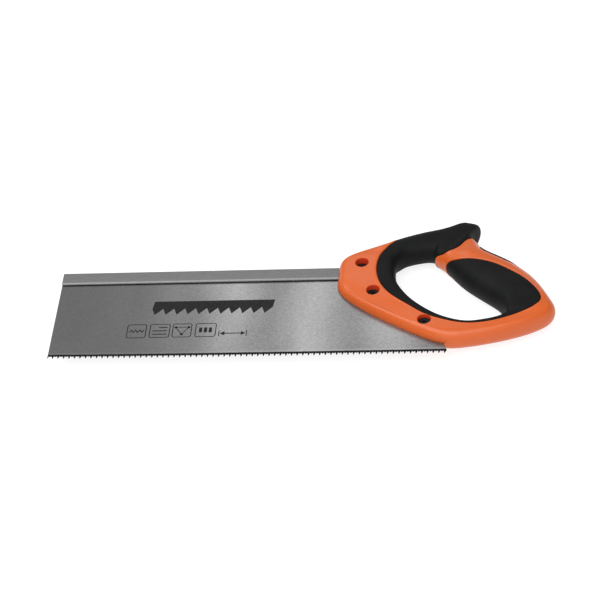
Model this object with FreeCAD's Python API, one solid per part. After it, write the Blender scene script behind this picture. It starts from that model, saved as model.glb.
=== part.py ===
import FreeCAD, Part
import math
import os

# Back saw (tenon saw) lying on its side.
# Drawing frame: x runs from the toe to the handle along the tooth tips, y from
# the tooth tips to the back, z square to the blade with 0 at its mid-plane.
# Every solid is moved at export to the row frame, whose origin is the centre of
# the lowest face of the whole saw. All lengths are millimetres.

Vector = FreeCAD.Vector

# ---- blade ------------------------------------------------------------------
BLADE_LENGTH = 300.0      # tooth line, toe to heel
BLADE_THICKNESS = 0.9
TOOTH_COUNT = 143         # about twelve teeth to the inch
TOOTH_DEPTH = 2.5
TOE_DROP = 0.95           # the tooth points lie on a shallow arc, which starts this
LINE_BOW = 1.13           # far below the x axis and sinks by this much more
BOW_X = 205.0             # half way along
TOE_X = 1.0               # the toe edge runs down to the first tooth's point
BLADE_TOP = 86.5          # top edge of the plate, inside the folded back
HEEL_CUT = (290.5, 25.0)  # the heel edge slants from the last tooth up to here
TANG_STEP_X = 226.0       # behind the back's end the plate rises for the top screw
TANG_TOP = 95.5
TANG_REAR_X = 249.0

# ---- folded steel back ------------------------------------------------------
BACK_START = TOE_X
BACK_END = 224.0
BACK_TOP = 89.7
BACK_DEPTH = 12.15
BACK_THICKNESS = 5.0
FOLD_RADIUS = 0.7         # both corners of the fold
BACK_BEAD = 0.15          # the lips' lower edges swell by this much
BEAD_HEIGHT = 1.6
BEAD_RADIUS = 1.2

# ---- handle -----------------------------------------------------------------
# Half thicknesses and shoulder widths of the handle's ring section, as
# (half thickness at the hand hole, at the outside, shoulder at the hole, outside).
CHEEK = (10.2, 9.0, 6.0, 6.0)
HORN = (11.0, 11.0, 10.5, 10.5)
TIP = (11.5, 10.5, 10.0, 9.5)
NECK = (12.5, 11.5, 9.0, 9.0)
GRIP = (14.0, 14.0, 14.0, 15.0)
HEEL = (11.0, 10.0, 6.0, 8.0)
BAR = (9.0, 9.0, 4.0, 6.5)

# Stations round the ring, from the front edge over the horn, down the grip and
# back along the lower bar: point on the hand hole, point on the outside, section.
STATIONS = [
    ((259.7, 79), (215.7, 77), CHEEK),
    ((259.6, 88), (216.1, 90.5), CHEEK),
    ((261.5, 93.2), (223, 98.9), CHEEK),
    ((265.8, 96.9), (236.6, 105.8), CHEEK),
    ((271.8, 98.8), (251.7, 113.4), HORN),
    ((279, 100.2), (267.5, 120.7), HORN),
    ((285, 100.6), (284, 126), HORN),
    ((288.4, 99.1), (299.1, 129.8), HORN),
    ((288.8, 96.9), (310.9, 134.6), TIP),
    ((291, 94.8), (317.2, 134.1), TIP),
    ((293.2, 93), (323.6, 130), TIP),
    ((295.4, 91.4), (318.3, 119.5), NECK),
    ((297.3, 88.8), (321.7, 111.8), NECK),
    ((301.4, 82.7), (326.7, 103.9), GRIP),
    ((308.4, 73.3), (337, 95.9), GRIP),
    ((317.3, 64.1), (348.7, 87.6), GRIP),
    ((326.8, 55.6), (359.6, 77.3), GRIP),
    ((335.4, 47.5), (369, 64.5), GRIP),
    ((340.8, 39.7), (376.6, 49.3), HEEL),
    ((342.5, 34.9), (379.9, 39.4), HEEL),
    ((340.7, 31.1), (375.5, 30.3), BAR),
    ((333.7, 27.4), (358.9, 20.6), BAR),
    ((324.2, 25.9), (336.9, 12.4), BAR),
    ((315, 25.4), (316.1, 7.7), BAR),
    ((304.6, 27.7), (297.6, 7.1), BAR),
    ((292.8, 33.3), (280, 14.7), BAR),
    ((281.7, 41.8), (263.4, 24.8), BAR),
    ((272.1, 51.9), (246.8, 35.9), CHEEK),
    ((264.8, 62.9), (230.1, 49), CHEEK),
    ((261.1, 71.1), (217, 63.9), CHEEK),
]

# ---- soft grip --------------------------------------------------------------
GRIP_SKIN = 2.2           # depth of the overmoulded layer
# Seam from the top of the handle down the front, along the hand hole's lower
# edge, round the grip panel and into the hand hole.
FRONT_SEAM = [
    (274, 129), (262.7, 117), (257.5, 110), (249.5, 99.7), (245.7, 87), (245.6, 77),
    (250.4, 61.7), (258.6, 50.6), (272, 39.7), (285.2, 30), (297.9, 24.4), (310, 20.9),
    (325, 20.8), (339.7, 24.4), (354.4, 31), (365.6, 37.6), (369.3, 44.6), (362.5, 57.8),
    (346.6, 71.8), (332, 80.8), (317, 84.8), (305.6, 86.4), (298.6, 88.4), (290, 91),
]
# Seam under the horn, from inside the hand hole to behind the neck.
HORN_SEAM = [
    (283, 98.6), (289.5, 96.9), (295, 95.8), (301, 96.5), (304.7, 98.5), (308, 101.4),
    (312, 107.2), (317.8, 114), (321.5, 124), (327, 127.5), (336, 128.5),
]
# Palm inlay on the back of the grip: a rounded slot seen square to the edge.
PALM_CENTRE = (338.1, 95.4)
PALM_DIRECTION = -41.0    # degrees, along the back of the grip
PALM_HALF_STRAIGHT = 9.3
PALM_RADIUS = 10.8
PALM_SKIN = 2.0
PALM_PROUD = 0.5          # the inlay stands this far out of the hard handle

# ---- saw screws -------------------------------------------------------------
SCREWS = [(233.9, 87.8), (243.7, 57.2), (283.1, 24.8)]
RECESS_RADIUS = 5.05
RECESS_FLOORS = [1.4, 2.7, 3.3]   # height of each recess floor over the mid-plane
HEAD_RADIUS = 4.8
HEAD_HEIGHT = 2.4
SHANK_RADIUS = 2.0
SLEEVE_RADIUS = 2.9
SLEEVE_HOLE_RADIUS = 3.0
SLEEVE_TOP = 1.2
SHANK_END = -1.2
SOCKET_ACROSS_FLATS = 3.0
SOCKET_DEPTH = 1.2

ARC_POLE_SCALE = 1.047    # poles of a 30 degree polygon stand this far outside its arc
SOLVER_PASSES = 40
MEASURING_TOLERANCE = 0.02


def ring_section(inner, outer, kind, inset):
    """Control points of one closed section, inset evenly by a given amount."""
    inner_half, outer_half, inner_shoulder, outer_shoulder = kind
    width = math.hypot(outer[0] - inner[0], outer[1] - inner[1])
    across = ((outer[0] - inner[0]) / width, (outer[1] - inner[1]) / width)
    upper = []
    for degrees in (0, 30, 60):
        angle = math.radians(degrees)
        reach = ARC_POLE_SCALE * (inner_shoulder - inset) * math.cos(angle)
        height = ARC_POLE_SCALE * (inner_half - inset) * math.sin(angle)
        upper.append((inner_shoulder - reach, height))
    flat = width - inner_shoulder - outer_shoulder
    for step in range(4):
        part = step / 3.0
        height = inner_half + (outer_half - inner_half) * part - inset
        upper.append((inner_shoulder + flat * part, height))
    for degrees in (60, 30, 0):
        angle = math.radians(degrees)
        reach = ARC_POLE_SCALE * (outer_shoulder - inset) * math.cos(angle)
        height = ARC_POLE_SCALE * (outer_half - inset) * math.sin(angle)
        upper.append((width - outer_shoulder + reach, height))
    ring = upper + [(along, -height) for along, height in reversed(upper[1:-1])]
    return [Vector(inner[0] + across[0] * along, inner[1] + across[1] * along, height)
            for along, height in ring]


def periodic_poles(points):
    """Poles of the closed uniform cubic spline that passes through the points."""
    count = len(points)
    poles = list(points)
    for _ in range(SOLVER_PASSES):
        poles = [(points[k] * 6 - poles[k - 1] - poles[(k + 1) % count]) * 0.25
                 for k in range(count)]
    return poles


def ring_solid(inset):
    """The handle's rounded ring as one smooth solid."""
    sections = [ring_section(inner, outer, kind, inset) for inner, outer, kind in STATIONS]
    around = len(sections)
    across = len(sections[0])
    columns = [periodic_poles([section[j] for section in sections]) for j in range(across)]
    grid = [[columns[j][i] for j in range(across)] for i in range(around)]
    surface = Part.BSplineSurface()
    surface.buildFromPolesMultsKnots(
        grid, [1] * (around + 1), [1] * (across + 1),
        list(range(around + 1)), list(range(across + 1)), True, True, 3, 3)
    solid = Part.Solid(Part.Shell([surface.toShape()]))
    if solid.Volume < 0:
        solid.reverse()
    return solid


def curve_edge(points):
    curve = Part.BSplineCurve()
    curve.interpolate([Vector(x, y, 0) for x, y in points])
    return curve.toShape()


def straight_edges(points):
    corners = [Vector(x, y, 0) for x, y in points]
    return [Part.makeLine(a, b) for a, b in zip(corners[:-1], corners[1:])]


def soft_region():
    """Prism over everything that the soft grip covers."""
    edges = [curve_edge(FRONT_SEAM), curve_edge(HORN_SEAM)]
    edges += straight_edges([FRONT_SEAM[-1], HORN_SEAM[0]])
    edges += straight_edges([HORN_SEAM[-1], (334, 150), (274, 150), FRONT_SEAM[0]])
    wire = Part.Wire(Part.__sortEdges__(edges))
    prism = Part.Face(wire).extrude(Vector(0, 0, 60))
    prism.translate(Vector(0, 0, -30))
    return prism


def palm_region():
    """Prism that cuts the palm inlay's rounded slot out of the grip's back edge."""
    half, radius = PALM_HALF_STRAIGHT, PALM_RADIUS
    top = Part.makeLine(Vector(-half, 0, radius), Vector(half, 0, radius))
    nose = Part.Arc(Vector(half, 0, radius), Vector(half + radius, 0, 0),
                    Vector(half, 0, -radius)).toShape()
    bottom = Part.makeLine(Vector(half, 0, -radius), Vector(-half, 0, -radius))
    tail = Part.Arc(Vector(-half, 0, -radius), Vector(-half - radius, 0, 0),
                    Vector(-half, 0, radius)).toShape()
    prism = Part.Face(Part.Wire([top, nose, bottom, tail])).extrude(Vector(0, 36, 0))
    prism.translate(Vector(0, -14, 0))
    prism.rotate(Vector(0, 0, 0), Vector(0, 0, 1), PALM_DIRECTION)
    prism.translate(Vector(PALM_CENTRE[0], PALM_CENTRE[1], 0))
    return prism


def cylinder(centre, radius, low, high):
    return Part.makeCylinder(radius, high - low, Vector(centre[0], centre[1], low))


def tooth_line(x):
    """Height of the tooth points along the blade."""
    return -TOE_DROP - LINE_BOW * (1 - ((x - BOW_X) / BOW_X) ** 2)


def make_blade():
    half = BLADE_THICKNESS / 2.0
    pitch = BLADE_LENGTH / TOOTH_COUNT
    toe_height = TOOTH_DEPTH * (1 - 2 * TOE_X / pitch) + tooth_line(TOE_X)
    outline = [(TOE_X, BLADE_TOP), (TOE_X, toe_height)]
    for tooth in range(TOOTH_COUNT):
        point, gullet = (tooth + 0.5) * pitch, (tooth + 1) * pitch
        outline.append((point, tooth_line(point)))
        outline.append((gullet, tooth_line(gullet) + TOOTH_DEPTH))
    outline += [HEEL_CUT, (284, 30.5), (TANG_REAR_X + 5, 58), (TANG_REAR_X, 65),
                (TANG_REAR_X, TANG_TOP - 6), (TANG_REAR_X - 6, TANG_TOP),
                (TANG_STEP_X + 4, TANG_TOP), (TANG_STEP_X, TANG_TOP - 4),
                (TANG_STEP_X, BLADE_TOP)]
    corners = [Vector(x, y, -half) for x, y in outline]
    blade = Part.Face(Part.makePolygon(corners + corners[:1])).extrude(
        Vector(0, 0, BLADE_THICKNESS))
    for centre in SCREWS:
        blade = blade.cut(cylinder(centre, SLEEVE_HOLE_RADIUS, -half, half))
    return blade


def corner_arc(centre_y, centre_z, radius, start, end):
    """Quarter round across the back, between two angles in degrees from +y to +z."""
    points = []
    for degrees in (start, (start + end) / 2.0, end):
        angle = math.radians(degrees)
        points.append(Vector(BACK_START, centre_y + radius * math.cos(angle),
                             centre_z + radius * math.sin(angle)))
    return Part.Arc(*points).toShape()


def make_back():
    """Folded steel back: a squarish fold over the plate with slightly swollen lips."""
    half = BACK_THICKNESS / 2.0
    plate = BLADE_THICKNESS / 2.0
    low = BACK_TOP - BACK_DEPTH
    bead = half + BACK_BEAD
    fold_y, fold_z = BACK_TOP - FOLD_RADIUS, half - FOLD_RADIUS
    lip_y, lip_z = low + BEAD_RADIUS, bead - BEAD_RADIUS
    arcs = [corner_arc(fold_y, fold_z, FOLD_RADIUS, 0, 90),
            corner_arc(lip_y, lip_z, BEAD_RADIUS, 90, 180),
            corner_arc(lip_y, -lip_z, BEAD_RADIUS, 180, 270),
            corner_arc(fold_y, -fold_z, FOLD_RADIUS, 270, 360)]
    left = [(lip_y, bead), (low + BEAD_HEIGHT, bead), (low + 1.5 * BEAD_HEIGHT, half),
            (fold_y, half)]
    slot = [(low, lip_z), (low, plate), (BLADE_TOP, plate), (BLADE_TOP, -plate),
            (low, -plate), (low, -lip_z)]
    right = [(y, -z) for y, z in reversed(left)]
    lines = [Part.makeLine(Vector(BACK_START, BACK_TOP, -fold_z), Vector(BACK_START, BACK_TOP, fold_z))]
    for run in (left, slot, right):
        corners = [Vector(BACK_START, y, z) for y, z in run]
        lines += [Part.makeLine(a, b) for a, b in zip(corners[:-1], corners[1:])]
    profile = Part.Face(Part.Wire(Part.__sortEdges__(arcs + lines)))
    return profile.extrude(Vector(BACK_END - BACK_START, 0, 0))


def make_screw(centre, floor):
    """Flat-headed saw screw, its head sunk in the upper recess."""
    head = cylinder(centre, HEAD_RADIUS, floor, floor + HEAD_HEIGHT)
    head = head.makeChamfer(0.4, [head.Edges[0]])
    shank = cylinder(centre, SHANK_RADIUS, SHANK_END, floor)
    corner = SOCKET_ACROSS_FLATS / math.sqrt(3)
    points = [Vector(centre[0] + corner * math.cos(math.radians(60 * k)),
                     centre[1] + corner * math.sin(math.radians(60 * k)),
                     floor + HEAD_HEIGHT - SOCKET_DEPTH) for k in range(7)]
    socket = Part.Face(Part.makePolygon(points)).extrude(Vector(0, 0, SOCKET_DEPTH))
    return head.fuse(shank).cut(socket).removeSplitter()


def make_nut(centre, floor):
    """Sleeve nut that the screw draws up from the lower recess."""
    head = cylinder(centre, HEAD_RADIUS, -floor - HEAD_HEIGHT, -floor)
    sleeve = cylinder(centre, SLEEVE_RADIUS, -floor, SLEEVE_TOP)
    bore = cylinder(centre, SHANK_RADIUS, SHANK_END, SLEEVE_TOP)
    return head.fuse(sleeve).cut(bore).removeSplitter()


def make_handle(blade, back):
    """Hard core, soft grip and palm inlay, cut from one envelope."""
    envelope = ring_solid(0.0)
    soft_grip = envelope.common(soft_region()).cut(ring_solid(GRIP_SKIN))
    palm_inlay = ring_solid(-PALM_PROUD).common(palm_region()).cut(ring_solid(PALM_SKIN))
    body = envelope.cut(soft_grip).cut(palm_inlay)
    for centre, floor in zip(SCREWS, RECESS_FLOORS):
        body = body.cut(cylinder(centre, RECESS_RADIUS, floor, 20))
        body = body.cut(cylinder(centre, RECESS_RADIUS, -20, -floor))
        body = body.cut(cylinder(centre, SLEEVE_HOLE_RADIUS, -floor, floor))
    filled_blade = blade
    for centre in SCREWS:
        filled_blade = filled_blade.fuse(
            cylinder(centre, SLEEVE_HOLE_RADIUS, -BLADE_THICKNESS / 2, BLADE_THICKNESS / 2))
    body = body.cut(filled_blade).cut(back)
    return body, soft_grip, palm_inlay


blade = make_blade()
back = make_back()
body, soft_grip, palm_inlay = make_handle(blade, back)
parts = {
    "blade": blade,
    "folded_back": back,
    "handle_body": body,
    "soft_grip": soft_grip,
    "palm_inlay": palm_inlay,
}
for name, centre, floor in zip(("top", "middle", "lower"), SCREWS, RECESS_FLOORS):
    parts["saw_screw_" + name] = make_screw(centre, floor)
    parts["sleeve_nut_" + name] = make_nut(centre, floor)

whole = FreeCAD.BoundBox()
for shape in parts.values():
    for point in shape.tessellate(MEASURING_TOLERANCE)[0]:
        whole.add(point)
to_row_frame = Vector(-whole.Center.x, -whole.Center.y, -whole.ZMin)

os.makedirs("parts", exist_ok=True)
for name, shape in parts.items():
    shape.translate(to_row_frame)
    shape.exportStep("parts/" + name + ".step")
    print(name, "solids", len(shape.Solids), "valid", shape.isValid(),
          "volume %.0f mm3" % shape.Volume)
print("row frame shift", to_row_frame, "size", whole.XLength, whole.YLength, whole.ZLength)
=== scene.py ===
import math
import bpy
import numpy as np
from mathutils import Matrix, Vector


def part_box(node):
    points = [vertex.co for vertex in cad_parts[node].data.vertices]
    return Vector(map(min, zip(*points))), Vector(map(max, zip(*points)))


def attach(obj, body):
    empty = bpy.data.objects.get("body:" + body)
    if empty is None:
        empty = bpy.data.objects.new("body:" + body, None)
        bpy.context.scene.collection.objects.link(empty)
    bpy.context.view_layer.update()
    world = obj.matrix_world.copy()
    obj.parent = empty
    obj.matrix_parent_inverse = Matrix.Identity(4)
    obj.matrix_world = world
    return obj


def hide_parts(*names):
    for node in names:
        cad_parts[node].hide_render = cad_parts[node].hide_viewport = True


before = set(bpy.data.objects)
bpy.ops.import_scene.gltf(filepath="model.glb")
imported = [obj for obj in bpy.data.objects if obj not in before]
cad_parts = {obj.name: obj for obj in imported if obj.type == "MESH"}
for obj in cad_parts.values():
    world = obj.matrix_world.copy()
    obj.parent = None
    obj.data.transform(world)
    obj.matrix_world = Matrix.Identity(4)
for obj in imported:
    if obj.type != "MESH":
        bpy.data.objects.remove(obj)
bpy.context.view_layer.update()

# The drawing frame of the saw, in millimetres: x runs from the toe to the handle along
# the tooth points, y from the points to the back, and z stands square to the blade,
# with 0 at its mid-plane. Lengths are in millimetres unless a comment says otherwise.
MM = 0.001
blade_low, blade_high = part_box("blade")
TOE_X = 1.0
TOE_DROP = 0.95           # the tooth points lie on a shallow arc, which starts this far
LINE_BOW = 1.13           # below the x axis, sinks by this much more,
BOW_X = 205.0             # and is lowest here
ORIGIN = np.array([blade_low[0] - TOE_X * MM, blade_low[1] + (TOE_DROP + LINE_BOW) * MM,
                   (blade_low[2] + blade_high[2]) / 2])

# ---- the saw's driving dimensions, as in the CAD model -------------------------
BLADE_LENGTH = 300.0
HALF_PLATE = 0.45
TOOTH_COUNT = 143
TOOTH_DEPTH = 2.5
BLADE_TOP = 86.5
BACK_END = 224.0
BACK_TOP = 89.7
BACK_DEPTH = 12.15
BACK_LOW = BACK_TOP - BACK_DEPTH
BACK_HALF = 2.5
FOLD_RADIUS = 0.7
LIP_HALF = 2.6
LIP_RADIUS = 1.2

# ---- fine detail of the teeth, the plate's finish and the back -----------------
TIP_PLACE = 0.14          # in pitches: each point leans toward the toe
TIP_FLAT = 0.45           # length of the worn flat at each point
TIP_BEVEL = 0.3           # one face of a point ends this much higher than the other
TIP_THINNING = 0.75       # a point's part of the plate's thickness
TOOTH_SET = 0.3           # points stand out of the plate by turns
SHORT_TOOTH = 0.75        # every second point stops short of the line by this much
FILING_SLANT = 0.3        # gullets slant through the plate by turns
HARDENED = 3.15           # the dulled zone reaches this far over the tooth line
BAND_START = 116.5        # soft bands of light and shade cross the grinding: the wave
BAND_PITCH = 66.0         # starts here, has this length
BAND_SHADE = 0.24         # and this strength,
BAND_FADE = (85.0, 115.0)         # and it fades in over this stretch
EASE = (130.0, 230.0)     # painted shade: over this stretch the steel gets darker toward the handle
EASE_SHADE = 0.22         # by this much
LIP_SWELL = (2.2, 3.4)    # the back widens to its lips between these heights over its edge
LIP_TONE = (0.9, 1.6)     # the lips' painted highlight ends between these heights
JOINT_SPREAD = (0.65, 1.0)        # the painted shadow in the joint ends this far from the plate's middle
JOINT_FADE = (60.0, 170.0)        # and gets fainter over this stretch,
JOINT_LEAST = 0.55        # down to this part of its strength
PLATE_GAP = 0.02          # between the plate and the back
TOE_ROUND = ((0.0, 0.3), (0.1, 0.1), (0.3, 0.0))      # distance from the toe, inset there
BACK_WAIST = 5.0          # the inset draws in toward this height over the back's edge,
BACK_FLAT = 4.0           # but not where a point is nearer to it than this,
INNER_FACE = 0.3          # and faces nearer to the plate than this stay where they are

# ---- the handle ----------------------------------------------------------------
# Each kind of section: half its thickness at the inner and the outer edge, then the
# width of its round shoulder at the inner and the outer edge.
CHEEK = (10.2, 9.0, 6.0, 6.0)
HORN = (11.0, 11.0, 10.5, 10.5)
TIP = (11.5, 10.5, 10.0, 9.5)
NECK = (12.5, 11.5, 9.0, 9.0)
GRIP = (14.0, 14.0, 14.0, 15.0)
HEEL = (11.0, 10.0, 6.0, 8.0)
BAR = (9.0, 9.0, 4.0, 6.5)

# Sections once round the hand hole: inner point, outer point and kind.
STATIONS = [
    ((259.7, 79), (215.7, 77), CHEEK),
    ((259.6, 88), (216.1, 90.5), CHEEK),
    ((261.5, 93.2), (223, 98.9), CHEEK),
    ((265.8, 96.9), (236.6, 105.8), CHEEK),
    ((271.8, 98.8), (251.7, 113.4), HORN),
    ((279, 100.2), (267.5, 120.7), HORN),
    ((285, 100.6), (284, 126), HORN),
    ((288.4, 99.1), (299.1, 129.8), HORN),
    ((288.8, 96.9), (310.9, 134.6), TIP),
    ((291, 94.8), (317.2, 134.1), TIP),
    ((293.2, 93), (323.6, 130), TIP),
    ((295.4, 91.4), (318.3, 119.5), NECK),
    ((297.3, 88.8), (321.7, 111.8), NECK),
    ((301.4, 82.7), (326.7, 103.9), GRIP),
    ((308.4, 73.3), (337, 95.9), GRIP),
    ((317.3, 64.1), (348.7, 87.6), GRIP),
    ((326.8, 55.6), (359.6, 77.3), GRIP),
    ((335.4, 47.5), (369, 64.5), GRIP),
    ((340.8, 39.7), (376.6, 49.3), HEEL),
    ((342.5, 34.9), (379.9, 39.4), HEEL),
    ((340.7, 31.1), (375.5, 30.3), BAR),
    ((333.7, 27.4), (358.9, 20.6), BAR),
    ((324.2, 25.9), (336.9, 12.4), BAR),
    ((315, 25.4), (316.1, 7.7), BAR),
    ((304.6, 27.7), (297.6, 7.1), BAR),
    ((292.8, 33.3), (280, 14.7), BAR),
    ((281.7, 41.8), (263.4, 24.8), BAR),
    ((272.1, 51.9), (246.8, 35.9), CHEEK),
    ((264.8, 62.9), (230.1, 49), CHEEK),
    ((261.1, 71.1), (217, 63.9), CHEEK),
]
ARC_POLE_SCALE = 1.047    # a shoulder's poles lie this many radii from its centre,
ARC_ANGLES = (0, 30, 60)  # at these angles in degrees

# The soft grip's edge in plan: down the front, under the hand and up the grip, and then
# along the horn.
FRONT_SEAM = [
    (274, 129), (262.7, 117), (257.5, 110), (249.5, 99.7), (245.7, 87), (245.6, 77),
    (250.4, 61.7), (258.6, 50.6), (272, 39.7), (285.2, 30), (297.9, 24.4), (310, 20.9),
    (325, 20.8), (339.7, 24.4), (354.4, 31), (365.6, 37.6), (369.3, 44.6), (362.5, 57.8),
    (346.6, 71.8), (332, 80.8), (317, 84.8), (305.6, 86.4), (298.6, 88.4), (290, 91),
]
HORN_SEAM = [
    (283, 98.6), (289.5, 96.9), (295, 95.8), (301, 96.5), (304.7, 98.5), (308, 101.4),
    (312, 107.2), (317.8, 114), (321.5, 124), (327, 127.5), (336, 128.5),
]
ABOVE_HORN = [(336, 150), (274, 150)]     # closes the soft grip's region past the horn
GRIP_SKIN = 2.2           # the overmould's thickness
PALM_CENTRE = (338.1, 95.4)
PALM_DIRECTION = -41.0    # in degrees
PALM_HALF_STRAIGHT = 9.3
PALM_RADIUS = 10.8
PALM_PROUD = 0.5
PALM_REACH = 14.0         # nothing farther than this in front of the centre is on the strip
FAR_OUTSIDE = -20.0

SCREWS = {"top": (233.9, 87.8), "middle": (243.7, 57.2), "lower": (283.1, 24.8)}
RECESS_FLOORS = {"top": 1.4, "middle": 2.7, "lower": 3.3}
RECESS_RADIUS = 5.05

# ---- fine detail of the moulding -----------------------------------------------
SEAM_HALF_GAP = 0.2
SEAM_ROUND = 0.55
BEAD_RISE = 0.22          # a fine bead on the hard plastic runs beside the soft grip,
BEAD_PLACE = 1.25         # this far from the seam's middle
BEAD_WIDTH = 0.45
SKIN_CLEARANCE = 0.03     # the skin lies this far under the smooth envelope
PALM_ROUND = 1.0
RIM_ROUND = 0.5
SLOT_CLEARANCE = 0.12
CREASE = [(216, 66), (222.4, 60.6), (234.3, 51), (249.8, 40.8), (265.1, 30.6), (276, 23.5)]
CREASE_DEPTH = 1.0
CREASE_WIDTHS = (6.5, 1.5)        # on the cheek's side, on the shoulder's side
CREASE_FADES = (10.0, 26.0)       # over these lengths at its front and rear ends

# ---- the mesh of the moulding --------------------------------------------------
AROUND_STEPS = 11         # divisions between two stations
ACROSS_STEPS = 5          # divisions between two poles of a section
SEAM_SPACING = 0.6        # between two points of a seam's curve
CREASE_CUTS = (-7.5, -5, -3, -1.5, -0.4, 0.3, 0.7, 1.1, 1.5, 2.0, 2.8)
BEAD_CUTS = (-1.5, -0.7, 0, 0.7, 1.5)     # in bead widths
ROUND_CUTS = (0, 0.15, 0.5, 1.0)          # in radii of a rounded edge
SNAP = 1e-3               # a point this near to a cut counts as just over it
LEAST_SLOPE = 0.12        # limits how far a steep wall stretches a distance in plan
BATCH = 2000              # points that are measured at a time
TINY = 1e-9               # the least length that anything is divided by
MOST_POINTS = 10 ** 9     # more than a mesh has, so a pair of points makes one number


def to_row(points):
    """Points of the drawing frame (mm) in the row frame (m)."""
    return np.asarray(points, float) * MM + ORIGIN


def mesh_object(name, points, faces):
    """A mesh object from drawing-frame points."""
    mesh = bpy.data.meshes.new(name)
    mesh.from_pydata(to_row(points).tolist(), [], [list(face) for face in faces])
    mesh.validate()
    mesh.update()
    made = bpy.data.objects.new(name, mesh)
    bpy.context.scene.collection.objects.link(made)
    return made


def carve(piece, hollow):
    """Cuts a closed shape, given as points and faces, out of a piece."""
    cutter = mesh_object("cutter", *hollow)
    modifier = piece.modifiers.new("hollow", "BOOLEAN")
    modifier.operation, modifier.solver, modifier.object = "DIFFERENCE", "MANIFOLD", cutter
    bpy.context.view_layer.update()
    whole = piece.evaluated_get(bpy.context.evaluated_depsgraph_get())
    mesh = bpy.data.meshes.new_from_object(whole)
    piece.modifiers.clear()
    piece.data = mesh
    bpy.data.objects.remove(cutter)


def add_piece(name, points, faces, material, replaced=(), sharp=38.0, hollows=()):
    """A mesh piece riding on the saw's one body. Edges over the sharp angle stay crisp."""
    piece = mesh_object(name, points, faces)
    for hollow in hollows:
        carve(piece, hollow)
    mesh = piece.data
    for polygon in mesh.polygons:
        polygon.use_smooth = True
    mesh.set_sharp_from_angle(angle=math.radians(sharp))
    mesh.materials.clear()
    mesh.materials.append(material)
    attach(piece, "root")
    if replaced:
        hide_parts(*replaced)
    return piece


# ---- materials -----------------------------------------------------------------
class Nodes:
    """A material's node tree with short helpers."""

    def __init__(self, name):
        self.material = bpy.data.materials.new(name)
        self.material.use_nodes = True
        self.tree = self.material.node_tree
        self.shader = self.tree.nodes["Principled BSDF"]
        self.place = self.add("ShaderNodeTexCoord").outputs["Object"]

    def add(self, kind, **settings):
        node = self.tree.nodes.new(kind)
        for key, value in settings.items():
            setattr(node, key, value)
        return node

    def link(self, source, target):
        self.tree.links.new(source, target)

    def drive(self, socket, value):
        """Gives a socket of the shader a value that varies over the surface."""
        self.link(value, self.shader.inputs[socket])

    def set(self, **values):
        """Gives sockets of the shader one value all over the surface."""
        for key, value in values.items():
            self.shader.inputs[key.replace("_", " ")].default_value = value

    def noise(self, scale, detail=3.0, stretch=(1, 1, 1), rough=0.5):
        mapping = self.add("ShaderNodeMapping")
        mapping.inputs["Scale"].default_value = stretch
        self.link(self.place, mapping.inputs["Vector"])
        noise = self.add("ShaderNodeTexNoise")
        noise.inputs["Scale"].default_value = scale
        noise.inputs["Detail"].default_value = detail
        noise.inputs["Roughness"].default_value = rough
        self.link(mapping.outputs["Vector"], noise.inputs["Vector"])
        return noise.outputs["Fac"]

    def remap(self, value, low_in, high_in, low_out, high_out, smooth=False):
        node = self.add("ShaderNodeMapRange")
        if smooth:
            node.interpolation_type = "SMOOTHSTEP"
        node.inputs["From Min"].default_value = low_in
        node.inputs["From Max"].default_value = high_in
        node.inputs["To Min"].default_value = low_out
        node.inputs["To Max"].default_value = high_out
        self.link(value, node.inputs["Value"])
        return node.outputs["Result"]

    def vary(self, low, high, scale, detail=3.0, stretch=(1, 1, 1), rough=0.5, span=(0.3, 0.7)):
        """Noise that goes from low to high over the span of its own values."""
        return self.remap(self.noise(scale, detail, stretch, rough), *span, low, high)

    def mix(self, fac, first, second):
        node = self.add("ShaderNodeMix", data_type="RGBA")
        for socket, value in (("A", first), ("B", second)):
            target = [s for s in node.inputs if s.name == socket and s.type == "RGBA"][0]
            if isinstance(value, tuple):
                target.default_value = (*value, 1)
            else:
                self.link(value, target)
        self.link(fac, node.inputs["Factor"])
        return [s for s in node.outputs if s.type == "RGBA"][0]

    def math(self, operation, first, second=0.0):
        node = self.add("ShaderNodeMath", operation=operation)
        for index, value in enumerate((first, second)):
            if isinstance(value, (int, float)):
                node.inputs[index].default_value = value
            else:
                self.link(value, node.inputs[index])
        return node.outputs[0]

    def over(self, axis, level=0.0):
        """Distance in millimetres over a level of the drawing frame."""
        parts = self.add("ShaderNodeSeparateXYZ")
        self.link(self.place, parts.inputs["Vector"])
        start = float(ORIGIN["XYZ".index(axis)] + level * MM)
        return self.math("MULTIPLY", self.math("SUBTRACT", parts.outputs[axis], start), 1 / MM)

    def bump(self, height, distance):
        node = self.add("ShaderNodeBump")
        node.inputs["Distance"].default_value = distance
        node.inputs["Strength"].default_value = 1.0
        self.link(height, node.inputs["Height"])
        self.drive("Normal", node.outputs["Normal"])


def orange_plastic():
    """Glossy moulded orange, with painted shade, a darker red, in the screws' recesses."""
    nodes = Nodes("orange_plastic")
    bright, deep, recess_shade = (0.56, 0.097, 0.0125), (0.53, 0.09, 0.011), (0.55, 0.048, 0.013)
    colour = nodes.mix(nodes.vary(0, 1, 22, 3, (1, 1.6, 1)), bright, deep)
    # painted shade: inside each screw's recess the orange turns a darker red
    for x, y in SCREWS.values():
        squares = [nodes.math("MULTIPLY", way, way) for way in (nodes.over("X", x), nodes.over("Y", y))]
        reach = nodes.math("SQRT", nodes.math("ADD", *squares))
        inside = nodes.remap(reach, RECESS_RADIUS + 0.05, RECESS_RADIUS + 0.15, 1, 0)
        colour = nodes.mix(inside, colour, recess_shade)
    nodes.drive("Base Color", colour)
    nodes.drive("Roughness", nodes.vary(0.29, 0.35, 160, 4))
    nodes.bump(nodes.noise(1900, 2), 0.00002)
    nodes.set(IOR=1.49, Specular_IOR_Level=0.45, Subsurface_Weight=0.05, Subsurface_Scale=0.002)
    return nodes.material


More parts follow.
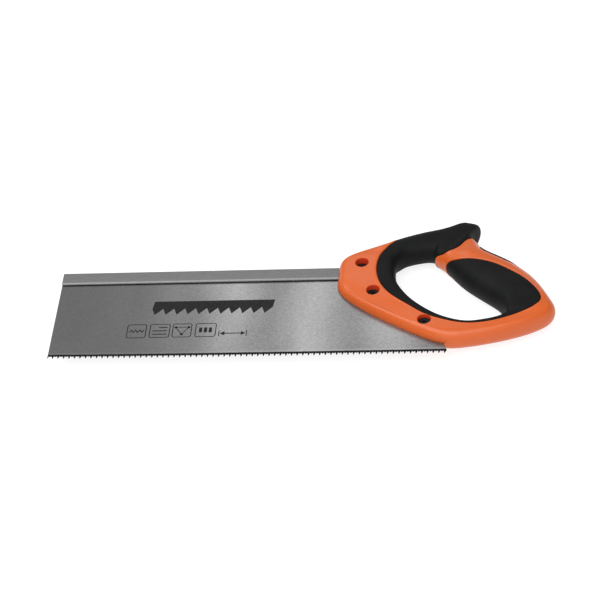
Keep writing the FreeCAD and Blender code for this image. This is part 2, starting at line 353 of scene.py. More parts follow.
def black_rubber():
    """Matt black rubber with a fine grain."""
    nodes = Nodes("black_rubber")
    black, worn = (0.003, 0.0032, 0.0035), (0.006, 0.0062, 0.0067)
    nodes.drive("Base Color", nodes.mix(nodes.vary(0, 1, 60, 4), black, worn))
    grain = nodes.noise(1500, 3, rough=0.6)
    nodes.drive("Roughness", nodes.remap(grain, 0.3, 0.7, 0.52, 0.66))
    nodes.bump(grain, 0.00009)
    nodes.set(IOR=1.45, Specular_IOR_Level=0.15)
    return nodes.material


def blade_steel():
    """Ground steel with painted bands of reflected light and shade and painted shade toward the handle,
    dulled black along the hardened teeth, with a pale line above them.
    """
    nodes = Nodes("blade_steel")
    dark, light = (0.19, 0.19, 0.193), (0.365, 0.365, 0.368)
    pale, dulled = (0.42, 0.42, 0.42), (0.006, 0.006, 0.007)
    lines = nodes.noise(260, 4, (1, 14, 1), 0.6)
    tone = nodes.math("ADD", nodes.remap(lines, 0.3, 0.7, 0, 0.3),
                      nodes.vary(0, 0.4, 520, 3, (1, 1.5, 1), 0.65))
    tone = nodes.math("ADD", tone, nodes.vary(0, 0.3, 26, 2, (1, 0.35, 1)))
    # painted light: soft bands of reflected light and shade, then painted shade toward the handle, added
    # to the grinding's tone
    turns = nodes.math("MULTIPLY", nodes.over("X", BAND_START), math.tau / BAND_PITCH)
    turns = nodes.math("ADD", turns, nodes.vary(-0.5, 0.5, 14, 1))
    fade = nodes.remap(nodes.over("X"), *BAND_FADE, 0, BAND_SHADE)
    tone = nodes.math("ADD", tone, nodes.math("MULTIPLY", nodes.math("SINE", turns), fade))
    tone = nodes.math("SUBTRACT", tone, nodes.remap(nodes.over("X"), *EASE, 0, EASE_SHADE))
    grain_and_painted_light = nodes.mix(tone, dark, light)

    along = nodes.math("DIVIDE", nodes.over("X", BOW_X), BOW_X)
    bow = nodes.math("MULTIPLY", nodes.math("MULTIPLY", along, along), LINE_BOW)
    line = nodes.math("SUBTRACT", bow, TOE_DROP + LINE_BOW)
    over = nodes.math("ADD", nodes.math("SUBTRACT", nodes.over("Y"), line),
                      nodes.vary(-0.25, 0.25, 450, 2, span=(0, 1)))
    edge = nodes.math("MULTIPLY", nodes.remap(over, HARDENED + 0.2, HARDENED + 0.6, 0, 0.4),
                      nodes.remap(over, HARDENED + 1.0, HARDENED + 2.0, 1, 0))
    hardened = nodes.remap(over, HARDENED - 0.3, HARDENED + 0.3, 1, 0, smooth=True)
    nodes.drive("Base Color", nodes.mix(hardened, nodes.mix(edge, grain_and_painted_light, pale), dulled))
    nodes.drive("Metallic", nodes.remap(hardened, 0, 1, 1, 0))
    nodes.drive("Roughness", nodes.math("ADD", nodes.remap(tone, 0, 1, 0.29, 0.22),
                                        nodes.math("MULTIPLY", hardened, 0.3)))
    nodes.bump(lines, 0.00001)
    nodes.set(Specular_IOR_Level=0.06)
    return nodes.material


def back_steel():
    """Dull folded steel, with a painted highlight on the rolled lips and a painted shadow, nearly black,
    where they meet the plate.
    """
    nodes = Nodes("back_steel")
    dark, light = (0.225, 0.225, 0.228), (0.285, 0.285, 0.288)
    # painted highlight on the lips, and painted shadow, nearly black, where the lips meet the plate
    lip_highlight, gap = (0.31, 0.31, 0.313), (0.055, 0.055, 0.055)
    side = nodes.mix(nodes.vary(0, 1, 240, 4, (1, 9, 9), 0.6), dark, light)
    lips = nodes.remap(nodes.over("Y"), BACK_LOW + LIP_TONE[0], BACK_LOW + LIP_TONE[1], 1, 0)
    beside = nodes.math("ABSOLUTE", nodes.over("Z"))
    joint_shadow = nodes.math("MULTIPLY", lips, nodes.remap(beside, *JOINT_SPREAD, 1, 0))
    joint_shadow = nodes.math("MULTIPLY", joint_shadow, nodes.remap(nodes.over("X"), *JOINT_FADE, 1, JOINT_LEAST))
    nodes.drive("Base Color", nodes.mix(joint_shadow, nodes.mix(lips, side, lip_highlight), gap))
    nodes.drive("Metallic", nodes.remap(joint_shadow, 0, 1, 1, 0))
    nodes.drive("Roughness", nodes.vary(0.64, 0.74, 700, 3))
    nodes.bump(nodes.noise(1200, 3, (1, 3, 3)), 0.00002)
    nodes.set(Specular_IOR_Level=0.1)
    return nodes.material


def black_oxide():
    """The blackened steel of the screws and nuts."""
    nodes = Nodes("black_oxide")
    dark, light = (0.006, 0.006, 0.0065), (0.014, 0.0135, 0.0135)
    nodes.drive("Base Color", nodes.mix(nodes.vary(0, 1, 500, 3, span=(0.35, 0.65)), dark, light))
    nodes.drive("Roughness", nodes.vary(0.35, 0.5, 900, 2))
    nodes.bump(nodes.noise(1600, 2), 0.00002)
    nodes.set(Metallic=0.2, Specular_IOR_Level=0.2)
    return nodes.material


def marking_ink():
    """Black printing ink, a little uneven."""
    nodes = Nodes("marking_ink")
    dark, light = (0.006, 0.006, 0.0065), (0.014, 0.014, 0.0145)
    nodes.drive("Base Color", nodes.mix(nodes.vary(0, 1, 700, 3, span=(0.35, 0.65)), dark, light))
    nodes.set(Roughness=0.6, Specular_IOR_Level=0.2)
    return nodes.material


ORANGE, RUBBER, STEEL = orange_plastic(), black_rubber(), blade_steel()
BACK, OXIDE, INK = back_steel(), black_oxide(), marking_ink()


# ---- the handle's envelope as a fine mesh ---------------------------------------
def ring_section(inner, outer, kind):
    """Poles of one closed section: two round shoulders joined by flat cheeks."""
    inner_half, outer_half, inner_shoulder, outer_shoulder = kind
    inner, outer = np.array(inner, float), np.array(outer, float)
    width = np.linalg.norm(outer - inner)
    across = (outer - inner) / width
    upper = []
    for angle in np.radians(ARC_ANGLES):
        upper.append((inner_shoulder * (1 - ARC_POLE_SCALE * math.cos(angle)),
                      ARC_POLE_SCALE * inner_half * math.sin(angle)))
    flat = width - inner_shoulder - outer_shoulder
    for part in (0, 1 / 3, 2 / 3, 1):
        upper.append((inner_shoulder + flat * part, inner_half + (outer_half - inner_half) * part))
    for angle in np.radians(ARC_ANGLES[::-1]):
        upper.append((width - outer_shoulder * (1 - ARC_POLE_SCALE * math.cos(angle)),
                      ARC_POLE_SCALE * outer_half * math.sin(angle)))
    ring = upper + [(along, -height) for along, height in reversed(upper[1:-1])]
    return [[*(inner + across * along), height] for along, height in ring]


def periodic_poles(points):
    """Poles, along axis 0, of the closed uniform cubic spline through the points."""
    count = len(points)
    blend = np.eye(count) * 4
    for k in range(count):
        blend[k, k - 1] += 1
        blend[k, (k + 1) % count] += 1
    return np.linalg.solve(blend / 6, points.reshape(count, -1)).reshape(points.shape)


def closed_cubic(poles, steps):
    """Samples, along axis 0, of the closed uniform cubic spline with these poles."""
    spans = []
    for step in range(steps):
        t = step / steps
        weights = ((1 - t) ** 3 / 6, (3 * t ** 3 - 6 * t ** 2 + 4) / 6,
                   (-3 * t ** 3 + 3 * t ** 2 + 3 * t + 1) / 6, t ** 3 / 6)
        spans.append(sum(w * np.roll(poles, 1 - k, axis=0) for k, w in enumerate(weights)))
    stacked = np.stack(spans, axis=1)
    return stacked.reshape(-1, *poles.shape[1:])


def envelope():
    """Points, outward normals and triangles of the handle's smooth outer surface."""
    rings = np.array([ring_section(*station) for station in STATIONS])
    around = closed_cubic(periodic_poles(rings), AROUND_STEPS)
    grid = closed_cubic(around.transpose(1, 0, 2), ACROSS_STEPS).transpose(1, 0, 2)
    along = np.roll(grid, -1, axis=0) - np.roll(grid, 1, axis=0)
    cross = np.roll(grid, -1, axis=1) - np.roll(grid, 1, axis=1)
    normals = np.cross(cross, along)
    normals /= np.linalg.norm(normals, axis=2)[..., None]
    rows, columns = grid.shape[:2]
    index = np.arange(rows * columns).reshape(rows, columns)
    a, b = index, np.roll(index, -1, axis=0)
    c, d = np.roll(b, -1, axis=1), np.roll(index, -1, axis=1)
    triangles = np.concatenate([np.stack([a, d, c], -1).reshape(-1, 3),
                                np.stack([a, c, b], -1).reshape(-1, 3)])
    points, normals = grid.reshape(-1, 3), normals.reshape(-1, 3)
    corner = points[triangles]
    volume = np.einsum("ij,ij->", corner[:, 0], np.cross(corner[:, 1], corner[:, 2]))
    if volume < 0:
        triangles = triangles[:, ::-1]
    top = np.argmax(points[:, 2])
    if normals[top, 2] < 0:
        normals = -normals
    return points, normals, triangles


def natural_curve(points):
    """Points along a smooth curve through the given ones, about evenly spaced."""
    points = np.array(points, float)
    edges = np.diff(points, axis=0)
    knots = np.concatenate([[0], np.cumsum(np.linalg.norm(edges, axis=1))])
    steps = np.diff(knots)
    slopes = edges / steps[:, None]
    count = len(points)
    system, right = np.zeros((count, count)), np.zeros((count, 2))
    system[0, 0] = system[-1, -1] = 1
    for k in range(1, count - 1):
        system[k, k - 1:k + 2] = steps[k - 1], 2 * (steps[k - 1] + steps[k]), steps[k]
        right[k] = 6 * (slopes[k] - slopes[k - 1])
    bend = np.linalg.solve(system, right)
    place = np.arange(0, knots[-1], SEAM_SPACING)
    k = np.clip(np.searchsorted(knots, place, side="right") - 1, 0, count - 2)
    h, t0, t1 = steps[k, None], (knots[k + 1] - place)[:, None], (place - knots[k])[:, None]
    return ((bend[k] * t0 ** 3 + bend[k + 1] * t1 ** 3) / (6 * h)
            + (points[k] / h - bend[k] * h / 6) * t0 + (points[k + 1] / h - bend[k + 1] * h / 6) * t1)


def distance_inside(outline, places):
    """Distance of each place from a closed outline, positive inside, and its direction."""
    start, end = outline, np.roll(outline, -1, axis=0)
    step = end - start
    square = np.einsum("ij,ij->i", step, step)
    rise = np.where(step[:, 1] == 0, 1.0, step[:, 1])
    distance, away = np.empty(len(places)), np.empty((len(places), 2))
    for first in range(0, len(places), BATCH):
        batch = slice(first, first + BATCH)
        p = places[batch, None, :]
        t = np.clip(np.einsum("nij,ij->ni", p - start, step) / square, 0, 1)
        gap = p - (start + t[..., None] * step)
        d2 = np.einsum("nij,nij->ni", gap, gap)
        near = d2.argmin(axis=1)
        rows = np.arange(len(near))
        length = np.sqrt(d2[rows, near])
        spans = (start[:, 1] > p[..., 1]) != (end[:, 1] > p[..., 1])
        crossing = start[:, 0] + (p[..., 1] - start[:, 1]) * step[:, 0] / rise
        inside = (spans & (p[..., 0] < crossing)).sum(axis=1) % 2 == 1
        sign = np.where(inside, 1.0, -1.0)
        distance[batch] = length * sign
        away[batch] = gap[rows, near] / np.maximum(length, TINY)[:, None] * sign[:, None]
    return distance, away


class Surface:
    """A triangle mesh with per-vertex fields, which can be cut along a field's levels."""

    def __init__(self, points, normals, triangles):
        self.fields = {"point": points, "normal": normals}
        self.triangles = triangles

    def cut(self, name, level):
        """New edges wherever the field crosses the level."""
        value = self.fields[name] - level
        value = np.where(np.abs(value) < SNAP, SNAP, value)
        above = value > 0
        count = above[self.triangles].sum(axis=1)
        crossing = (count == 1) | (count == 2)
        cut = self.triangles[crossing]
        lone = np.where((count[crossing] == 1)[:, None], above[cut], ~above[cut]).argmax(axis=1)
        turn = (lone[:, None] + np.arange(3)) % 3
        cut = np.take_along_axis(cut, turn, axis=1)
        edges = np.concatenate([cut[:, [0, 1]], cut[:, [0, 2]]])
        unique, which = np.unique(np.sort(edges, axis=1), axis=0, return_inverse=True)
        which = which.reshape(-1)
        t = value[unique[:, 0]] / (value[unique[:, 0]] - value[unique[:, 1]])
        base = len(value)
        for key, field in self.fields.items():
            weight = t.reshape(-1, *([1] * (field.ndim - 1)))
            fresh = field[unique[:, 0]] * (1 - weight) + field[unique[:, 1]] * weight
            self.fields[key] = np.concatenate([field, fresh])
        self.fields[name][base:] = level
        ab, ac = which[:len(cut)] + base, which[len(cut):] + base
        a, b, c = cut.T
        self.triangles = np.concatenate([
            self.triangles[~crossing], np.stack([a, ab, ac], 1),
            np.stack([ab, b, c], 1), np.stack([ab, c, ac], 1)])

    def side(self, name):
        """The field's mean over each triangle."""
        return self.fields[name][self.triangles].mean(axis=1)


def beside_line(line, places):
    """Signed distance from an open line, positive on its right, and how far along it."""
    start, step = line[:-1], np.diff(line, axis=0)
    length = np.linalg.norm(step, axis=1)
    before = np.concatenate([[0], np.cumsum(length)[:-1]])
    gap = places[:, None, :] - start
    t = np.clip(np.einsum("nij,ij->ni", gap, step) / length ** 2, 0, 1)
    off = gap - t[..., None] * step
    distance = np.linalg.norm(off, axis=2)
    rows, near = np.arange(len(places)), distance.argmin(axis=1)
    turn = off[rows, near, 0] * step[near, 1] - off[rows, near, 1] * step[near, 0]
    along = before[near] + t[rows, near] * length[near]
    return distance[rows, near] * np.where(turn > 0, 1.0, -1.0), along


def crease_drop(beside, place):
    """Depth of the crease between the flat cheek and the rolled shoulder."""
    width = np.where(beside < 0, CREASE_WIDTHS[0], CREASE_WIDTHS[1])
    total = sum(math.dist(a, b) for a, b in zip(CREASE[:-1], CREASE[1:]))
    fade = np.clip(place / CREASE_FADES[0], 0, 1) * np.clip((total - place) / CREASE_FADES[1], 0, 1)
    return CREASE_DEPTH * np.exp(-(beside / width) ** 2) * fade


def rounded_drop(distance, radius):
    """How far a rounded edge has fallen at each distance from it."""
    d = np.clip(distance, 0, radius)
    return np.where(distance < radius, radius - np.sqrt(radius ** 2 - (radius - d) ** 2), 0.0)


def open_edges(triangles):
    """The edges of a patch that no triangle beside them runs back along."""
    edges = np.concatenate([triangles[:, [0, 1]], triangles[:, [1, 2]], triangles[:, [2, 0]]])
    forward = edges @ np.array([MOST_POINTS, 1])
    backward = edges @ np.array([1, MOST_POINTS])
    return edges[~np.isin(forward, backward)]


def stitched(patches):
    """One closed mesh from (triangles, positions) patches of the same surface.
    Where two patches share an edge, a wall joins its two places."""
    points, faces, numbers, owner = [], [], [], {}
    base = 0
    for patch, (triangles, positions) in enumerate(patches):
        used, local = np.unique(triangles, return_inverse=True)
        points.append(positions[used])
        faces += (local.reshape(-1, 3) + base).tolist()
        numbers.append(dict(zip(used.tolist(), range(base, base + len(used)))))
        base += len(used)
        for a, b in open_edges(triangles).tolist():
            owner[(a, b)] = patch
    for (a, b), patch in owner.items():
        other = owner.get((b, a))
        if other is not None and patch < other:
            here, there = numbers[patch], numbers[other]
            faces.append([here[b], here[a], there[a], there[b]])
    return np.concatenate(points), faces


def two_sided(front, outer, inner):
    """A closed skin: the patch outside, the same patch inside, and a wall round its edge."""
    count = len(outer)
    used = np.unique(front)
    place = np.full(2 * count, -1)
    place[used] = np.arange(len(used))
    place[used + count] = np.arange(len(used)) + len(used)
    rim = open_edges(front)
    walls = np.column_stack([rim[:, 1], rim[:, 0], rim[:, 0] + count, rim[:, 1] + count])
    faces = place[front].tolist() + place[front[:, ::-1] + count].tolist() + place[walls].tolist()
    return np.concatenate([outer[used], inner[used]]), faces


def add_fields(surface):
    """How far each point is inside the soft grip, the palm strip and each recess, and
    where it lies beside the crease."""
    point, normal = surface.fields["point"], surface.fields["normal"]
    outline = np.concatenate([natural_curve(FRONT_SEAM), natural_curve(HORN_SEAM),
                              [HORN_SEAM[-1]], ABOVE_HORN])
    plan, away = distance_inside(outline, point[:, :2])
    slope = np.sqrt(np.maximum(1 - np.einsum("ij,ij->i", away, normal[:, :2]) ** 2, LEAST_SLOPE))
    surface.fields["soft"] = plan / slope

    angle = math.radians(PALM_DIRECTION)
    along = np.array([math.cos(angle), math.sin(angle)])
    out = np.array([-along[1], along[0]])
    local = point[:, :2] - PALM_CENTRE
    beyond = np.maximum(np.abs(local @ along) - PALM_HALF_STRAIGHT, 0)
    palm = PALM_RADIUS - np.hypot(beyond, point[:, 2])
    surface.fields["palm"] = np.where(local @ out > -PALM_REACH, palm, FAR_OUTSIDE)

    for name, centre in SCREWS.items():
        surface.fields[name] = RECESS_RADIUS - np.linalg.norm(point[:, :2] - centre, axis=1)
    beside, place = beside_line(np.array(CREASE, float), point[:, :2])
    surface.fields["beside"], surface.fields["place"] = beside, place


def cut_edges(surface):
    """Mesh edges along the crease, the seams, the bead and the recesses' rims."""
    for level in CREASE_CUTS:
        surface.cut("beside", level)
    for name in ("soft", "palm"):
        for part in ROUND_CUTS:
            level = SEAM_HALF_GAP + part * SEAM_ROUND
            surface.cut(name, level)
            surface.cut(name, -level)
    for part in BEAD_CUTS:
        surface.cut("soft", -BEAD_PLACE - part * BEAD_WIDTH)
    for name in SCREWS:
        for part in ROUND_CUTS:
            surface.cut(name, -(part * RIM_ROUND))


def skin_drop(fields):
    """How far the finished skin lies under the smooth envelope."""
    drop = np.zeros(len(fields["point"]))
    for name in ("soft", "palm"):
        drop = np.maximum(drop, rounded_drop(np.abs(fields[name]) - SEAM_HALF_GAP, SEAM_ROUND))
    for name in SCREWS:
        drop = np.maximum(drop, rounded_drop(-fields[name], RIM_ROUND))
    drop += crease_drop(fields["beside"], fields["place"]) + SKIN_CLEARANCE
    return drop - BEAD_RISE * np.exp(-((fields["soft"] + BEAD_PLACE) / BEAD_WIDTH) ** 2)


def build_handle():
    """The hard moulding, and the two rubber pieces that lie in its sunk places."""
    surface = Surface(*envelope())
    add_fields(surface)
    cut_edges(surface)
    fields, triangles = surface.fields, surface.triangles
    point = fields["point"]
    normal = fields["normal"] / np.linalg.norm(fields["normal"], axis=1)[:, None]
    outer = point - normal * skin_drop(fields)[:, None]
    inner = point - normal * GRIP_SKIN
    proud = PALM_PROUD - SKIN_CLEARANCE - rounded_drop(fields["palm"] - SEAM_HALF_GAP, PALM_ROUND)
    palm_outer = point + normal * proud[:, None]
    nearest = np.stack([fields[name] for name in SCREWS]).argmax(axis=0)
    floor_height = np.array([RECESS_FLOORS[name] for name in SCREWS])[nearest]
    floor = np.column_stack([point[:, :2], np.sign(point[:, 2]) * floor_height])

    soft, palm = surface.side("soft"), surface.side("palm")
    recess = np.max([surface.side(name) for name in SCREWS], axis=0) > 0
    under = ((soft > -SEAM_HALF_GAP) | (palm > -SEAM_HALF_GAP)) & ~recess
    shell = ~under & ~recess
    points, faces = stitched([(triangles[shell], outer), (triangles[under], inner),
                              (triangles[recess], floor)])
    add_piece("handle_moulding", points, faces, ORANGE, ["handle_body"],
              hollows=[plate_slot(), back_slot()])
    for name, field, node, skin in (("soft_overmould", soft, "soft_grip", outer),
                                    ("palm_strip", palm, "palm_inlay", palm_outer)):
        points, faces = two_sided(triangles[field > SEAM_HALF_GAP], skin, inner)
        add_piece(name, points, faces, RUBBER, [node])


# ---- blade ---------------------------------------------------------------------
HEEL_EDGE = [(290.5, 25.0), (284, 30.5), (254, 58), (249, 65), (249, 89.5), (243, 95.5),
             (230, 95.5), (226, 91.5), (226, BLADE_TOP)]
SLOT_START = 190          # both slots reach out of the handle's front,
SLOT_FOOT = [(SLOT_START, -5), (302.4, -5), (300, TOOTH_DEPTH)]   # the plate's also below


def grown(outline, clearance):
    """A closed outline, counterclockwise, moved outward by a clearance."""
    points = np.array(outline, float)
    before = points - np.roll(points, 1, axis=0)
    after = np.roll(points, -1, axis=0) - points
    normals = []
    for edge in (before, after):
        edge = edge / np.linalg.norm(edge, axis=1)[:, None]
        normals.append(np.column_stack([edge[:, 1], -edge[:, 0]]))
    both = normals[0] + normals[1]
    scale = 2 / np.einsum("ij,ij->i", both, both)
    return points + both * (scale * clearance)[:, None]


def prism(outline, low, high):
    """Points and faces of an upright prism on a counterclockwise outline."""
    count = len(outline)
    points = [(x, y, z) for z in (low, high) for x, y in outline]
    faces = [list(range(count))[::-1], list(range(count, 2 * count))]
    for k in range(count):
        n = (k + 1) % count
        faces.append([k, n, count + n, count + k])
    return points, faces


def plate_slot():
    """The space that the plate takes up in the handle."""
    outline = SLOT_FOOT + HEEL_EDGE + [(SLOT_START, BLADE_TOP)]
    half = HALF_PLATE + SLOT_CLEARANCE
    return prism(grown(outline, SLOT_CLEARANCE), -half, half)


def back_slot():
    """The space that the folded back takes up in the handle."""
    outline = [(SLOT_START, BACK_LOW), (BACK_END, BACK_LOW), (BACK_END, BACK_TOP), (SLOT_START, BACK_TOP)]
    half = LIP_HALF + SLOT_CLEARANCE
    return prism(grown(outline, SLOT_CLEARANCE), -half, half)


def tooth_line(x):
    """Height of the tooth points along the blade."""
    return -TOE_DROP - LINE_BOW * (1 - ((x - BOW_X) / BOW_X) ** 2)


def build_blade():
    """Ground plate with alternately set teeth, filed at a slant."""
    pitch = BLADE_LENGTH / TOOTH_COUNT
    points, faces = [], []

    def vertex(x, y, z):
        points.append((max(x, TOE_X), y, z))
        return len(points) - 1

    gullets = []
    for k in range(TOOTH_COUNT + 1):
        slant = FILING_SLANT * (1 if k % 2 else -1) * (0 < k < TOOTH_COUNT)
        height = tooth_line(k * pitch) + TOOTH_DEPTH
        gullets.append((vertex(k * pitch + slant, height, HALF_PLATE),
                        vertex(k * pitch - slant, height, -HALF_PLATE)))
    for k in range(TOOTH_COUNT):
        side = 1 if k % 2 else -1
        x = max((k + TIP_PLACE) * pitch, TOE_X)
        line = tooth_line(x) + (SHORT_TOOTH if side > 0 else 0.0)
        high, low = (0.0, TIP_BEVEL) if side > 0 else (TIP_BEVEL, 0.0)
        half, shift = HALF_PLATE * TIP_THINNING, side * TOOTH_SET
        tips = [(vertex(place, line + high, shift + half), vertex(place, line + low, shift - half))
                for place in (x, x + TIP_FLAT)]
        near, tip, heel, far = gullets[k], *tips, gullets[k + 1]
        faces += [(near[0], tip[0], far[0]), (tip[0], heel[0], far[0]),
                  (near[1], far[1], tip[1]), (tip[1], far[1], heel[1])]
        for front, rear in ((near, tip), (tip, heel), (heel, far)):
            faces.append((front[0], front[1], rear[1], rear[0]))
    edge = HEEL_EDGE + [(TOE_X, BLADE_TOP)]
    upper = [vertex(x, y, HALF_PLATE) for x, y in edge]
    lower = [vertex(x, y, -HALF_PLATE) for x, y in edge]
    faces.append([pair[0] for pair in gullets] + upper)
    faces.append(([pair[1] for pair in gullets] + lower)[::-1])
    top_rim = [gullets[-1][0]] + upper + [gullets[0][0]]
    low_rim = [gullets[-1][1]] + lower + [gullets[0][1]]
    for k in range(len(top_rim) - 1):
        faces.append((top_rim[k], low_rim[k], low_rim[k + 1], top_rim[k + 1]))
    add_piece("saw_plate", points, faces, STEEL, ["blade"], sharp=20)


def quarter(centre_y, centre_z, radius, start, steps=6):
    """Points of a quarter round, as (y, z), turning from +y to +z."""
    angles = [math.radians(start + 90 * step / steps) for step in range(steps + 1)]
    return [(centre_y + radius * math.cos(a), centre_z + radius * math.sin(a)) for a in angles]


# ---- printed marking: plain pictograms, no lettering -----------------------------
INK_LEVELS = (HALF_PLATE - 0.01, HALF_PLATE + 0.03)      # from just inside the plate
LINE = 0.7
BADGE_LOW, BADGE_HIGH = 18.4, 33.2
BADGE_MIDDLE = (BADGE_LOW + BADGE_HIGH) / 2
BADGE_ROUND = 2.0
BADGES = [(58.2, 73.2), (75.5, 91.2), (93.0, 107.8), (110.4, 126.4)]
ARROW_Y = 21.9
ARROW_ENDS = (128.4, 150.0)
STRIP = (75.0, 43.2, 167.5, 57.8)      # left, low, right, high
STRIP_TEETH = 11
STRIP_ROOT = 6.6          # height of the strip's teeth
STRIP_POINT = 0.3         # in pitches: where each tooth has its point
STRIP_LEAN = 1.2


def stroked(points, width):
    """Outline of an open zigzag line of even width."""
    points = np.array(points, float)
    edge = np.diff(points, axis=0)
    edge /= np.linalg.norm(edge, axis=1)[:, None]
    side = np.column_stack([edge[:, 1], -edge[:, 0]])
    both = np.concatenate([side[:1], side[:-1] + side[1:], side[-1:]])
    both *= (2 / np.einsum("ij,ij->i", both, both))[:, None]
    both[[0, -1]] = side[[0, -1]]
    return np.concatenate([points + both * width / 2, (points - both * width / 2)[::-1]])


def rounded_box(left, low, right, high, radius, steps=5):
    corners = [(right - radius, low + radius, -90), (right - radius, high - radius, 0),
               (left + radius, high - radius, 90), (left + radius, low + radius, 180)]
    return [(x + radius * math.cos(math.radians(start + 90 * k / steps)),
             y + radius * math.sin(math.radians(start + 90 * k / steps)))
            for x, y, start in corners for k in range(steps + 1)]


def band(outer, inner, low, high):
    """Points and faces of an upright ring between two matching outlines."""
    count = len(outer)
    points = [(x, y, z) for z in (low, high) for loop in (outer, inner) for x, y in loop]
    faces = []
    for k in range(count):
        n = (k + 1) % count
        o0, o1, i0, i1 = k, n, count + k, count + n
        up = 2 * count
        faces += [(o0, i0, i1, o1), (o0 + up, o1 + up, i1 + up, i0 + up),
                  (o0, o1, o1 + up, o0 + up), (i1, i0, i0 + up, i1 + up)]
    return points, faces


def bar(left, low, right, high):
    """Outline of an upright rectangle."""
    return [(left, low), (right, low), (right, high), (left, high)]


def inked(outlines):
    """Solid shapes of ink on the plate."""
    return [prism([tuple(point) for point in outline], *INK_LEVELS) for outline in outlines]


def badge_frames():
    """A rounded frame for each badge."""
    frames = []
    for left, right in BADGES:
        outer = rounded_box(left, BADGE_LOW, right, BADGE_HIGH, BADGE_ROUND)
        inner = rounded_box(left + LINE, BADGE_LOW + LINE, right - LINE, BADGE_HIGH - LINE,
                            BADGE_ROUND - LINE)
        frames.append(band(outer, inner, *INK_LEVELS))
    return frames


def zigzag_badge(left):
    """A line of teeth."""
    inset, step, half, stroke = 1.9, 1.6, 1.2, 0.85
    zigzag = [(left + inset + k * step, BADGE_MIDDLE - half + (k % 2) * 2 * half) for k in range(8)]
    return inked([stroked(zigzag, stroke)])


def board_badge(left, right):
    """A board sawn from its end: three lines, and the top one is shorter."""
    gap, half, rear = 3.6, 0.5, 2.2
    rows = ((BADGE_MIDDLE + gap, 7.0), (BADGE_MIDDLE, 2.4), (BADGE_MIDDLE - gap, 2.4))
    return inked([bar(left + start, y - half, right - rear, y + half) for y, start in rows])


def tooth_badge(centre):
    """One tooth with its three faces, as a triangle with a dot on each corner."""
    half_line, dot, dot_sides = 0.3, 1.1, 18
    corners = [(centre, BADGE_MIDDLE - 4.2), (centre + 5.0, BADGE_MIDDLE + 3.4),
               (centre - 5.0, BADGE_MIDDLE + 3.4)]
    dots = [[(x + dot * math.cos(math.tau * k / dot_sides), y + dot * math.sin(math.tau * k / dot_sides))
             for k in range(dot_sides)] for x, y in corners]
    return [band(grown(corners, half_line), grown(corners, -half_line), *INK_LEVELS)] + inked(dots)


def ribs_badge(left):
    """The ribs of a soft grip."""
    inset, step, width, low, high, corner = 3.0, 3.7, 2.4, 2.6, 2.8, 0.9
    starts = [left + inset + k * step for k in range(3)]
    return inked([rounded_box(x, BADGE_MIDDLE - low, x + width, BADGE_MIDDLE + high, corner)
                  for x in starts])


def size_arrow():
    """A dimension arrow between two posts, for the length of the blade."""
    head_start, head_end, head_half = 0.9, 4.6, 2.1
    post_width, post_half, shaft_inset, shaft_half = 0.7, 3, 4.5, 0.45
    left, right = ARROW_ENDS
    outlines = []
    for tip, turn in ((left, 1), (right, -1)):
        head = [(tip + turn * head_start, ARROW_Y), (tip + turn * head_end, ARROW_Y + head_half),
                (tip + turn * head_end, ARROW_Y - head_half)]
        near, far = sorted((tip, tip + turn * post_width))
        outlines += [head[::-turn], bar(near, ARROW_Y - post_half, far, ARROW_Y + post_half)]
    outlines.append(bar(left + shaft_inset, ARROW_Y - shaft_half, right - shaft_inset,
                        ARROW_Y + shaft_half))
    return inked(outlines)


def tooth_strip():
    """A bold strip with saw teeth along its lower edge."""
    left, low, right, high = STRIP
    pitch, root = (right - left) / STRIP_TEETH, low + STRIP_ROOT
    outline = []
    for k in range(STRIP_TEETH):
        outline += [(left + k * pitch, root), (left + (k + STRIP_POINT) * pitch, low)]
    outline += [(right, root), (right + STRIP_LEAN, high), (left + STRIP_LEAN, high)]
    return inked([outline])


def build_marking():
    """All the printing, as one piece."""
    shapes = (badge_frames() + zigzag_badge(BADGES[0][0]) + board_badge(*BADGES[1])
              + tooth_badge(sum(BADGES[2]) / 2) + ribs_badge(BADGES[3][0]) + size_arrow()
              + tooth_strip())
    points, faces = [], []
    for shape_points, shape_faces in shapes:
        faces += [[index + len(points) for index in face] for face in shape_faces]
        points += shape_points
    add_piece("blade_marking", points, faces, INK)


def build_back():
    """Folded strip: squarish fold, flat sides and rolled lips that grip the plate."""
    inner = HALF_PLATE + PLATE_GAP
    half = (quarter(BACK_TOP - FOLD_RADIUS, BACK_HALF - FOLD_RADIUS, FOLD_RADIUS, 0)
            + [(BACK_LOW + LIP_SWELL[1], BACK_HALF), (BACK_LOW + LIP_SWELL[0], LIP_HALF)]
            + quarter(BACK_LOW + LIP_RADIUS, LIP_HALF - LIP_RADIUS, LIP_RADIUS, 90)
            + quarter(BACK_LOW + LIP_RADIUS, inner + LIP_RADIUS, LIP_RADIUS, 180)[1:]
            + [(BLADE_TOP + PLATE_GAP, inner)])
    section = half + [(y, -z) for y, z in reversed(half)]
    rings = [(TOE_X + x, inset) for x, inset in TOE_ROUND] + [(BACK_END, 0.0)]
    points, faces = [], []
    count = len(section)
    for x, inset in rings:
        for y, z in section:
            moved = inset if abs(z) > HALF_PLATE + INNER_FACE else 0.0
            over = y - BACK_LOW - BACK_WAIST
            points.append((x, y - moved * np.sign(over) * (abs(over) > BACK_FLAT),
                           z - moved * np.sign(z)))
    for ring in range(len(rings) - 1):
        near, far = ring * count, (ring + 1) * count
        for k in range(count):
            n = (k + 1) % count
            faces.append((near + k, near + n, far + n, far + k))
    faces.append(list(range(count))[::-1])
    faces.append(list(range((len(rings) - 1) * count, len(rings) * count)))
    add_piece("back_strip", points, faces, BACK, ["folded_back"], sharp=30)


build_handle()
build_blade()
build_marking()
build_back()
for name in SCREWS:
    for node in ("saw_screw_" + name, "sleeve_nut_" + name):
        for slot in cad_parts[node].material_slots:
            slot.material = OXIDE


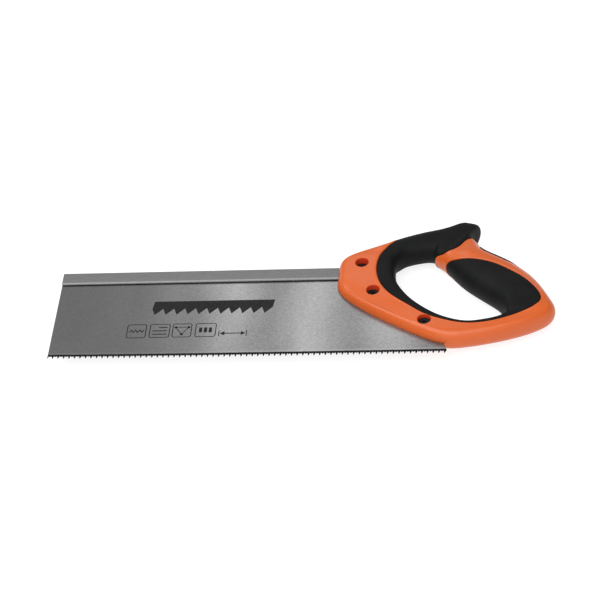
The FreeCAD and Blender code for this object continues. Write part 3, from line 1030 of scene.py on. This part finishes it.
# ---- floor, light and camera ---------------------------------------------------
FLOOR_HALF = 3.0          # in metres, like the lights' places and sizes
CAMERA_ELEVATION, CAMERA_AZIMUTH, CAMERA_ROLL = 43.0, 8.92, -7.26     # in degrees
CAMERA_AIM = (187.6, 57.04, 0)
CAMERA_DISTANCE = 1736.7
CAMERA_REACH = 20.0       # in metres
SENSOR_WIDTH = 36.0
LENS_LENGTH = 137.448


def build_stage():
    """A plain pale floor, which glows a little."""
    mesh = bpy.data.meshes.new("floor")
    mesh.from_pydata([(x, y, 0) for x, y in bar(-FLOOR_HALF, -FLOOR_HALF, FLOOR_HALF, FLOOR_HALF)],
                     [], [(0, 1, 2, 3)])
    floor = bpy.data.objects.new("floor", mesh)
    bpy.context.scene.collection.objects.link(floor)
    nodes = Nodes("floor_paper")
    nodes.drive("Base Color", nodes.mix(nodes.noise(3, 2), (0.30, 0.30, 0.30), (0.32, 0.32, 0.32)))
    nodes.set(Roughness=0.9, Emission_Strength=0.8)
    mesh.materials.append(nodes.material)


def add_light(name, place, aim, size, power):
    data = bpy.data.lights.new(name, "AREA")
    data.shape = "RECTANGLE"
    data.size, data.size_y = size
    data.energy = power
    light = bpy.data.objects.new(name, data)
    light.location = place
    light.rotation_euler = (Vector(place) - Vector(aim)).to_track_quat("Z", "Y").to_euler()
    bpy.context.scene.collection.objects.link(light)


def build_light():
    """Even light from all round, a big soft box above, and a panel behind the saw."""
    world = bpy.data.worlds.new("studio")
    world.use_nodes = True
    background = world.node_tree.nodes["Background"]
    background.inputs["Color"].default_value = (1, 1, 1, 1)
    background.inputs["Strength"].default_value = 0.46
    bpy.context.scene.world = world
    middle = (0, 0, 0)
    add_light("overhead", (-0.35, -0.4, 1.4), middle, (2.2, 1.3), 28)
    add_light("front_fill", (0.1, -1.4, 0.6), middle, (2.0, 0.9), 5.5)
    add_light("back_panel", (-0.045, 0.5, 0.495), middle, (0.28, 0.3), 0.34)


def build_camera():
    """The camera looks down on the saw's near side, a little turned and rolled."""
    elevation, azimuth = math.radians(CAMERA_ELEVATION), math.radians(CAMERA_AZIMUTH)
    roll = math.radians(CAMERA_ROLL)
    back = Vector((math.sin(azimuth) * math.cos(elevation), -math.cos(azimuth) * math.cos(elevation),
                   math.sin(elevation)))
    right = Vector((math.cos(azimuth), math.sin(azimuth), 0))
    up = back.cross(right)
    tilted_right = right * math.cos(roll) + up * math.sin(roll)
    tilted_up = up * math.cos(roll) - right * math.sin(roll)
    aim = Vector(to_row(CAMERA_AIM))
    camera = bpy.data.objects.new("camera", bpy.data.cameras.new("camera"))
    turn = Matrix((tilted_right, tilted_up, back)).transposed().to_4x4()
    camera.matrix_world = Matrix.Translation(aim + back * CAMERA_DISTANCE * MM) @ turn
    camera.data.lens = LENS_LENGTH
    camera.data.sensor_width = SENSOR_WIDTH
    camera.data.clip_end = CAMERA_REACH
    bpy.context.scene.collection.objects.link(camera)
    bpy.context.scene.camera = camera


build_stage()
build_light()
build_camera()
bpy.context.scene.view_settings.view_transform = "Standard"
